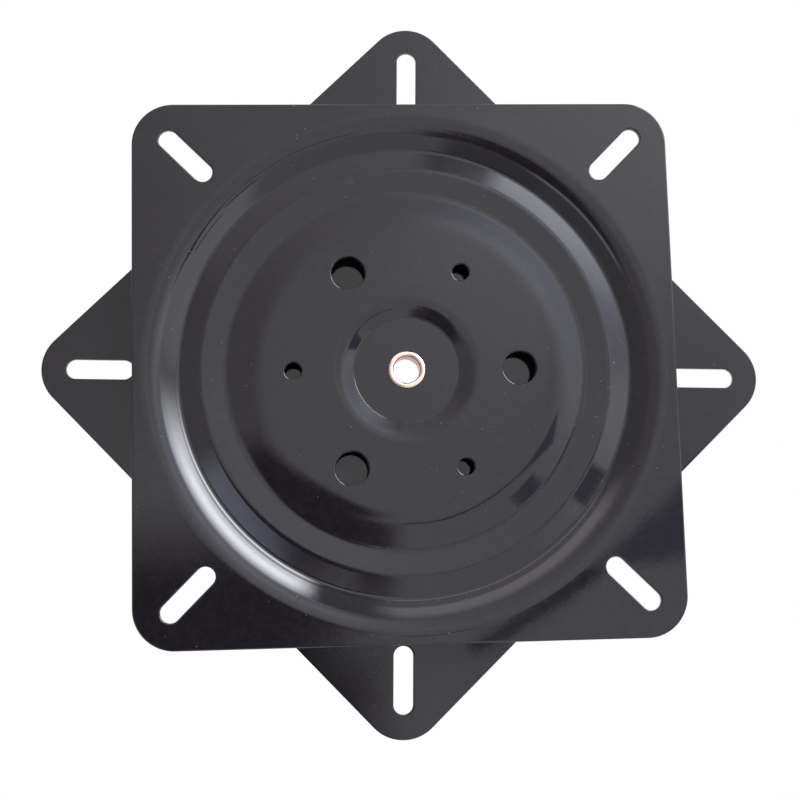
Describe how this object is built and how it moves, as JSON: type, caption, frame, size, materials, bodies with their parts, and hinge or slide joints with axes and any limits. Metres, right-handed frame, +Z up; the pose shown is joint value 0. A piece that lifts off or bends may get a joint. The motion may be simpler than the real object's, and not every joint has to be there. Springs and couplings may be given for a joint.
{
  "type": "lazy susan bearing",
  "caption": "Square lazy susan bearing: two black pressed steel plates, one turned over under the other, on a ring of caged balls, held by a hollow rivet.",
  "frame": {"origin": "centre of the lower plate's resting face, on the swivel axis", "axes": "+Z up along the swivel axis, +X and +Y along the lower plate's diagonals, through its corner slots"},
  "size_m": [0.3378, 0.3378, 0.022],
  "materials": {
    "plate_paint": "glossy",
    "rivet_copper": "polished",
    "spacer_nylon": "matte",
    "cage_nylon": "matte",
    "ball_steel": "polished"
  },
  "bodies": {
    "base": {"lower_plate": "plate_paint", "pivot_rivet": "rivet_copper", "spacer_washer": "spacer_nylon"},
    "seat": {"upper_plate": "plate_paint"},
    "cage": {"ball_cage": "cage_nylon"},
    "ball_01": {"ball_01": "ball_steel"},
    "ball_02": {"ball_02": "ball_steel"},
    "ball_03": {"ball_03": "ball_steel"},
    "ball_04": {"ball_04": "ball_steel"},
    "ball_05": {"ball_05": "ball_steel"},
    "ball_06": {"ball_06": "ball_steel"},
    "ball_07": {"ball_07": "ball_steel"},
    "ball_08": {"ball_08": "ball_steel"},
    "ball_09": {"ball_09": "ball_steel"},
    "ball_10": {"ball_10": "ball_steel"},
    "ball_11": {"ball_11": "ball_steel"},
    "ball_12": {"ball_12": "ball_steel"},
    "ball_13": {"ball_13": "ball_steel"},
    "ball_14": {"ball_14": "ball_steel"},
    "ball_15": {"ball_15": "ball_steel"},
    "ball_16": {"ball_16": "ball_steel"},
    "ball_17": {"ball_17": "ball_steel"},
    "ball_18": {"ball_18": "ball_steel"},
    "ball_19": {"ball_19": "ball_steel"},
    "ball_20": {"ball_20": "ball_steel"},
    "ball_21": {"ball_21": "ball_steel"},
    "ball_22": {"ball_22": "ball_steel"},
    "ball_23": {"ball_23": "ball_steel"},
    "ball_24": {"ball_24": "ball_steel"}
  },
  "joints": [
    {"name": "plate_swivel", "type": "hinge", "parent": "base", "child": "seat", "pos_m": [0, 0, 0.011], "axis": [0, 0, 1], "continuous": true},
    {"name": "cage_turn", "type": "hinge", "parent": "base", "child": "cage", "pos_m": [0, 0, 0.011], "axis": [0, 0, 1], "continuous": true},
    {"name": "ball_01_roll", "type": "hinge", "parent": "cage", "child": "ball_01", "pos_m": [0.09434, 0, 0.011], "axis": [1, 0, 0], "continuous": true},
    {"name": "ball_02_roll", "type": "hinge", "parent": "cage", "child": "ball_02", "pos_m": [0.09113, 0.02442, 0.011], "axis": [0.9659, 0.2588, 0], "continuous": true},
    {"name": "ball_03_roll", "type": "hinge", "parent": "cage", "child": "ball_03", "pos_m": [0.0817, 0.04717, 0.011], "axis": [0.866, 0.5, 0], "continuous": true},
    {"name": "ball_04_roll", "type": "hinge", "parent": "cage", "child": "ball_04", "pos_m": [0.06671, 0.06671, 0.011], "axis": [0.7071, 0.7071, 0], "continuous": true},
    {"name": "ball_05_roll", "type": "hinge", "parent": "cage", "child": "ball_05", "pos_m": [0.04717, 0.0817, 0.011], "axis": [0.5, 0.866, 0], "continuous": true},
    {"name": "ball_06_roll", "type": "hinge", "parent": "cage", "child": "ball_06", "pos_m": [0.02442, 0.09113, 0.011], "axis": [0.2588, 0.9659, 0], "continuous": true},
    {"name": "ball_07_roll", "type": "hinge", "parent": "cage", "child": "ball_07", "pos_m": [0, 0.09434, 0.011], "axis": [0, 1, 0], "continuous": true},
    {"name": "ball_08_roll", "type": "hinge", "parent": "cage", "child": "ball_08", "pos_m": [-0.02442, 0.09113, 0.011], "axis": [-0.2588, 0.9659, 0], "continuous": true},
    {"name": "ball_09_roll", "type": "hinge", "parent": "cage", "child": "ball_09", "pos_m": [-0.04717, 0.0817, 0.011], "axis": [-0.5, 0.866, 0], "continuous": true},
    {"name": "ball_10_roll", "type": "hinge", "parent": "cage", "child": "ball_10", "pos_m": [-0.06671, 0.06671, 0.011], "axis": [-0.7071, 0.7071, 0], "continuous": true},
    {"name": "ball_11_roll", "type": "hinge", "parent": "cage", "child": "ball_11", "pos_m": [-0.0817, 0.04717, 0.011], "axis": [-0.866, 0.5, 0], "continuous": true},
    {"name": "ball_12_roll", "type": "hinge", "parent": "cage", "child": "ball_12", "pos_m": [-0.09113, 0.02442, 0.011], "axis": [-0.9659, 0.2588, 0], "continuous": true},
    {"name": "ball_13_roll", "type": "hinge", "parent": "cage", "child": "ball_13", "pos_m": [-0.09434, 0, 0.011], "axis": [-1, 0, 0], "continuous": true},
    {"name": "ball_14_roll", "type": "hinge", "parent": "cage", "child": "ball_14", "pos_m": [-0.09113, -0.02442, 0.011], "axis": [-0.9659, -0.2588, 0], "continuous": true},
    {"name": "ball_15_roll", "type": "hinge", "parent": "cage", "child": "ball_15", "pos_m": [-0.0817, -0.04717, 0.011], "axis": [-0.866, -0.5, 0], "continuous": true},
    {"name": "ball_16_roll", "type": "hinge", "parent": "cage", "child": "ball_16", "pos_m": [-0.06671, -0.06671, 0.011], "axis": [-0.7071, -0.7071, 0], "continuous": true},
    {"name": "ball_17_roll", "type": "hinge", "parent": "cage", "child": "ball_17", "pos_m": [-0.04717, -0.0817, 0.011], "axis": [-0.5, -0.866, 0], "continuous": true},
    {"name": "ball_18_roll", "type": "hinge", "parent": "cage", "child": "ball_18", "pos_m": [-0.02442, -0.09113, 0.011], "axis": [-0.2588, -0.9659, 0], "continuous": true},
    {"name": "ball_19_roll", "type": "hinge", "parent": "cage", "child": "ball_19", "pos_m": [0, -0.09434, 0.011], "axis": [0, -1, 0], "continuous": true},
    {"name": "ball_20_roll", "type": "hinge", "parent": "cage", "child": "ball_20", "pos_m": [0.02442, -0.09113, 0.011], "axis": [0.2588, -0.9659, 0], "continuous": true},
    {"name": "ball_21_roll", "type": "hinge", "parent": "cage", "child": "ball_21", "pos_m": [0.04717, -0.0817, 0.011], "axis": [0.5, -0.866, 0], "continuous": true},
    {"name": "ball_22_roll", "type": "hinge", "parent": "cage", "child": "ball_22", "pos_m": [0.06671, -0.06671, 0.011], "axis": [0.7071, -0.7071, 0], "continuous": true},
    {"name": "ball_23_roll", "type": "hinge", "parent": "cage", "child": "ball_23", "pos_m": [0.0817, -0.04717, 0.011], "axis": [0.866, -0.5, 0], "continuous": true},
    {"name": "ball_24_roll", "type": "hinge", "parent": "cage", "child": "ball_24", "pos_m": [0.09113, -0.02442, 0.011], "axis": [0.9659, -0.2588, 0], "continuous": true}
  ],
  "couplings": [
    {"joint": "cage_turn", "follows": "plate_swivel", "ratio": 0.5},
    {"joint": "ball_01_roll", "follows": "plate_swivel", "ratio": -14.857},
    {"joint": "ball_02_roll", "follows": "plate_swivel", "ratio": -14.857},
    {"joint": "ball_03_roll", "follows": "plate_swivel", "ratio": -14.857},
    {"joint": "ball_04_roll", "follows": "plate_swivel", "ratio": -14.857},
    {"joint": "ball_05_roll", "follows": "plate_swivel", "ratio": -14.857},
    {"joint": "ball_06_roll", "follows": "plate_swivel", "ratio": -14.857},
    {"joint": "ball_07_roll", "follows": "plate_swivel", "ratio": -14.857},
    {"joint": "ball_08_roll", "follows": "plate_swivel", "ratio": -14.857},
    {"joint": "ball_09_roll", "follows": "plate_swivel", "ratio": -14.857},
    {"joint": "ball_10_roll", "follows": "plate_swivel", "ratio": -14.857},
    {"joint": "ball_11_roll", "follows": "plate_swivel", "ratio": -14.857},
    {"joint": "ball_12_roll", "follows": "plate_swivel", "ratio": -14.857},
    {"joint": "ball_13_roll", "follows": "plate_swivel", "ratio": -14.857},
    {"joint": "ball_14_roll", "follows": "plate_swivel", "ratio": -14.857},
    {"joint": "ball_15_roll", "follows": "plate_swivel", "ratio": -14.857},
    {"joint": "ball_16_roll", "follows": "plate_swivel", "ratio": -14.857},
    {"joint": "ball_17_roll", "follows": "plate_swivel", "ratio": -14.857},
    {"joint": "ball_18_roll", "follows": "plate_swivel", "ratio": -14.857},
    {"joint": "ball_19_roll", "follows": "plate_swivel", "ratio": -14.857},
    {"joint": "ball_20_roll", "follows": "plate_swivel", "ratio": -14.857},
    {"joint": "ball_21_roll", "follows": "plate_swivel", "ratio": -14.857},
    {"joint": "ball_22_roll", "follows": "plate_swivel", "ratio": -14.857},
    {"joint": "ball_23_roll", "follows": "plate_swivel", "ratio": -14.857},
    {"joint": "ball_24_roll", "follows": "plate_swivel", "ratio": -14.857}
  ]
}
